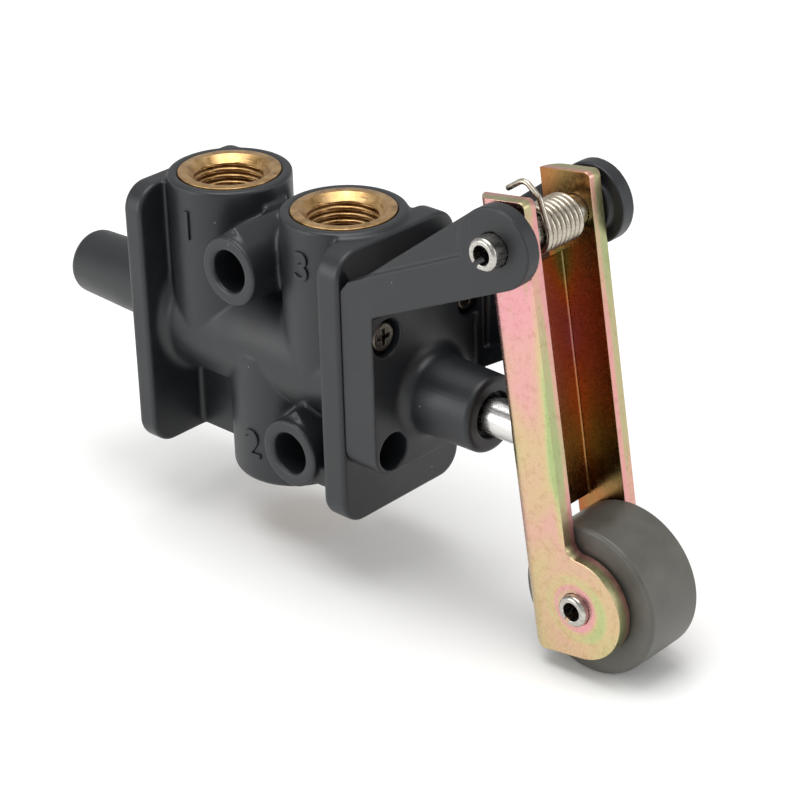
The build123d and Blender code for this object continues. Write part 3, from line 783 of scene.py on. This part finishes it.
def torsionRoute(values):
    # hook at the near end, the close coil, then the tail into the rear arm
    coil = values["coil"]
    knee = Vector(values["hook"][0])
    heading = math.atan2(-knee.y, -knee.x) + math.asin(coil / knee.length)
    reach = math.sqrt(knee.length ** 2 - coil ** 2)
    touch = knee + Vector((math.cos(heading), math.sin(heading))) * reach
    startAngle = math.atan2(touch.y, touch.x)
    turns = values["wholeTurns"] + (startAngle + math.pi / 2) / (2 * math.pi)
    near = -turns * values["pitch"] / 2
    hook = [(touch.x, near, touch.y)] + [(x, near, z) for x, z in values["hook"]]
    route = list(reversed(bentRoute(hook, values["hookBend"])))[:-1]
    count = int(turns * values["stepsPerTurn"])
    for step in range(count + 1):
        turned = turns * step / count
        angle = startAngle - turned * 2 * math.pi
        across = near + turned * values["pitch"]
        route.append(Vector((coil * math.cos(angle), across, coil * math.sin(angle))))
    back = -values["tailReach"]
    tail = [(0, -near, -coil), (back, -near, -coil), (back, -near + values["tailEnd"], -coil)]
    route += bentRoute(tail, values["tailBend"])[1:]
    return [(Vector(layout["pivot"]) + spot) * mm for spot in route], near


route, nearEnd = torsionRoute(torsionSettings)
torsionWire = roundWire("torsionWire", route, torsionSettings["drawnWire"] * mm, springWire)
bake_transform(torsionWire)
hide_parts("torsion_spring")

returnSettings = {
    "wire": 0.35,
    "coil": 2.3,
    "workingTurns": 6.0,
    "endTurns": 1.0,
    "endPitch": 1.05,       # of the wire's thickness
    "start": -36.5,
    "end": -19.4,
    "travel": 4.7,
    "stepsPerTurn": 40,
    "drawing": {"sides": 12},
}


def returnRoute(values):
    # a compression spring with one closed turn at each end
    working = values["workingTurns"]
    ends = values["endTurns"]
    coil = values["coil"]
    closed = 2 * values["wire"] * values["endPitch"]
    pitch = (values["end"] - values["start"] - 2 * closed * ends) / working
    turns = working + 2 * ends
    count = int(turns * values["stepsPerTurn"])
    route = []
    for step in range(count + 1):
        turn = turns * step / count
        head = min(turn, ends) * closed
        middle = min(max(turn - ends, 0), working) * pitch
        foot = max(turn - ends - working, 0) * closed
        along = values["start"] + head + middle + foot
        angle = 2 * math.pi * turn
        spot = Vector((along, coil * math.cos(angle), coil * math.sin(angle)))
        route.append(spot * mm + Vector(spoolAxis))
    return route


returnWire = roundWire("returnWire", returnRoute(returnSettings), returnSettings["wire"] * mm, springWire,
                       "valve", returnSettings["drawing"])
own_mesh(returnWire)
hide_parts("return_spring")
print("stage: springs made")


# Lever, pins, screws, roller and spool, whose edges are broken

softenSettings = {
    "merge": 0.002 * mm,
    "flatBelow": math.radians(0.6),
    "edgeAbove": math.radians(32.0),
    "segments": 2,
}


def softenEdges(node, name, material, body, width, values):
    # the CAD solid with its sharp edges broken by this width
    shape = bmesh.new()
    shape.from_mesh(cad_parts[node].data)
    bmesh.ops.remove_doubles(shape, verts=shape.verts, dist=values["merge"])
    bmesh.ops.dissolve_limit(shape, angle_limit=values["flatBelow"], verts=shape.verts, edges=shape.edges)
    piece = addPiece(name, closeShape(shape, bpy.data.meshes.new(name)), material, body)
    bevel = piece.modifiers.new("broken edges", "BEVEL")
    bevel.width = width
    bevel.segments = values["segments"]
    bevel.limit_method = "ANGLE"
    bevel.angle_limit = values["edgeAbove"]
    bevel.use_clamp_overlap = False
    piece.modifiers.new("even light", "WEIGHTED_NORMAL").keep_sharp = False
    bakeModifiers(piece)
    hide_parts(node)
    return piece


channelSettings = {
    "edge": 0.1 * mm,
    "innerHalf": 4.75 * mm,
    "margin": 0.05 * mm,
    "sideFacing": 0.5,      # a face that looks less sideways than this is a sheared edge
    "rimFacing": -0.7,      # unless it is the web's back
}


def dyeChannel(piece, inside, edge, values):
    # the channel's hollow takes a darker copy of the film, which is painted shade, and the sheared edges a
    # duller film
    piece.data.materials.append(inside)
    piece.data.materials.append(edge)
    ahead = Vector((math.cos(layout["tilt"]), 0, math.sin(layout["tilt"])))
    for polygon in piece.data.polygons:
        if abs(polygon.center.y) < values["innerHalf"] + values["margin"]:
            # faces in the hollow take the darker copy, painted shade
            polygon.material_index = 1
        elif abs(polygon.normal.y) < values["sideFacing"] and polygon.normal.dot(ahead) > values["rimFacing"]:
            polygon.material_index = 2


channel = softenEdges("lever_channel", "pressedChannel", yellowZinc, "lever",
                      channelSettings["edge"], softenSettings)
dyeChannel(channel, yellowZincShadedInside, yellowZincEdge, channelSettings)

brokenEdges = (
    ("pivot_pin", "rolledPivotPin", rolledPinSteel, "valve", "bright_steel", 0.12),
    ("roller_pin", "rolledRollerPin", rolledPinSteel, "lever", "bright_steel", 0.12),
    ("bracket_screws", "bracketScrews", screwSteel, "valve", "screw_steel", 0.07),
    ("roller", "turnedRoller", turnedRollerPlastic, "roller", "roller_plastic", 0.08),
    ("spool", "turnedSpool", anodisedSpool, "plunger", "spool_aluminium", 0.08),
)
for node, name, material, body, slot, width in brokenEdges:
    softenEdges(node, name, material, body, width * mm, softenSettings)
print("stage: metal pieces made")


# CAD nodes whose shape is right keep their mesh and take the better material

def dressNode(node, material):
    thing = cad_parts[node]
    for place in range(len(thing.material_slots)):
        thing.material_slots[place].material = material


rubberNodes = ["cap_gasket", "bracket_gasket", "plunger_wiper"] + [f"spool_seal_{n}" for n in range(1, 5)]
acetalNodes = ["seal_retainer", "plunger_guide"] + [f"seal_spacer_{n}" for n in range(1, 4)]
for nodes, material in ((rubberNodes, nitrileRubber), (acetalNodes, naturalAcetal)):
    for node in nodes:
        dressNode(node, material)
print("stage: inner pieces dressed")


# Camera

cameraView = {
    "azimuth": 43.11,       # degrees, from the front towards +X
    "elevation": 27.15,
    "roll": -1.47,
    "distance": 0.32799,
    "aimRight": 0.013537,   # from the spool's axis
    "aimUp": -0.008481,
    "lens": 115.46,
    "sensor": 36,
    "clip": (0.01, 20),
}


def placeCamera(view):
    turn = math.radians(view["azimuth"])
    tilt = math.radians(view["elevation"])
    roll = math.radians(view["roll"])
    right = Vector((math.cos(turn), math.sin(turn), 0))
    flat = Vector((-math.sin(turn), math.cos(turn), 0))
    forward = flat * math.cos(tilt) + Vector((0, 0, -math.sin(tilt)))
    up = right.cross(forward)
    rolledRight = right * math.cos(roll) + up * math.sin(roll)
    rolledUp = -right * math.sin(roll) + up * math.cos(roll)
    aim = Vector(spoolAxis) + right * view["aimRight"] + up * view["aimUp"]
    data = bpy.data.cameras.new("photoCamera")
    data.sensor_width = view["sensor"]
    data.lens = view["lens"]
    data.clip_start, data.clip_end = view["clip"]
    camera = bpy.data.objects.new("photoCamera", data)
    pose = Matrix((rolledRight, rolledUp, -forward)).transposed().to_4x4()
    pose.translation = aim - forward * view["distance"]
    camera.matrix_world = pose
    bpy.context.scene.collection.objects.link(camera)
    bpy.context.scene.camera = camera


placeCamera(cameraView)


# Floor and light

stageSettings = {
    "floorSize": 6.0,
    "floorDrop": 0.2 * mm,
    "floorColour": "#f4f4f3",
    "floorRoughness": 0.9,
    "worldColour": "#ffffff",
    "worldStrength": 0.58,
}


def makeFloor(values):
    low = cadBox[0][2] - values["floorDrop"]
    half = values["floorSize"] / 2
    corners = [(-half, -half, low), (half, -half, low), (half, half, low), (-half, half, low)]
    mesh = bpy.data.meshes.new("studioFloor")
    mesh.from_pydata(corners, [], [(0, 1, 2, 3)])
    floor = bpy.data.objects.new("studioFloor", mesh)
    bpy.context.scene.collection.objects.link(floor)
    material = bpy.data.materials.new("paleFloor")
    material.use_nodes = True
    shader = material.node_tree.nodes["Principled BSDF"]
    shader.inputs["Base Color"].default_value = linearColour(values["floorColour"])
    shader.inputs["Roughness"].default_value = values["floorRoughness"]
    shader.inputs["Specular IOR Level"].default_value = 0.0
    mesh.materials.append(material)


def makeWorld(values):
    # the camera sees full white, and the object is lit by a weaker white
    world = bpy.data.worlds.new("studioWorld")
    bpy.context.scene.world = world
    world.use_nodes = True
    tree = world.node_tree
    background = tree.nodes["Background"]
    path = addNode(tree, "ShaderNodeLightPath").outputs
    seen = addNode(tree, "ShaderNodeMath", {"operation": "MAXIMUM"},
                   {0: path["Is Camera Ray"], 1: path["Is Transmission Ray"]})
    strength = addNode(tree, "ShaderNodeMapRange", {"To Min": values["worldStrength"], "To Max": 1.0},
                       {"Value": seen.outputs[0]})
    background.inputs["Color"].default_value = linearColour(values["worldColour"])
    tree.links.new(strength.outputs["Result"], background.inputs["Strength"])


lightSettings = {
    "softTop": {"spot": (0.0, -0.05, 0.6), "aim": (0.01, 0, -0.01), "size": 0.5, "watts": 3.2},
    "softLeft": {"spot": (-0.3, -0.6, 0.14), "aim": (0.01, 0, -0.01), "size": 0.4, "watts": 1.8},
    "softRight": {"spot": (0.55, 0.22, 0.2), "aim": (0.02, 0, -0.01), "size": 0.35, "watts": 0.9},
}


def addSoftLight(name, values):
    data = bpy.data.lights.new(name, "AREA")
    data.shape = "SQUARE"
    data.size = values["size"]
    data.energy = values["watts"]
    lamp = bpy.data.objects.new(name, data)
    lamp.location = values["spot"]
    ray = Vector(values["aim"]) - Vector(values["spot"])
    lamp.rotation_euler = ray.to_track_quat("-Z", "Y").to_euler()
    bpy.context.scene.collection.objects.link(lamp)


makeFloor(stageSettings)
makeWorld(stageSettings)
for name, values in lightSettings.items():
    addSoftLight(name, values)
bpy.context.scene.view_settings.view_transform = "Standard"
print("stage: camera and lights placed")
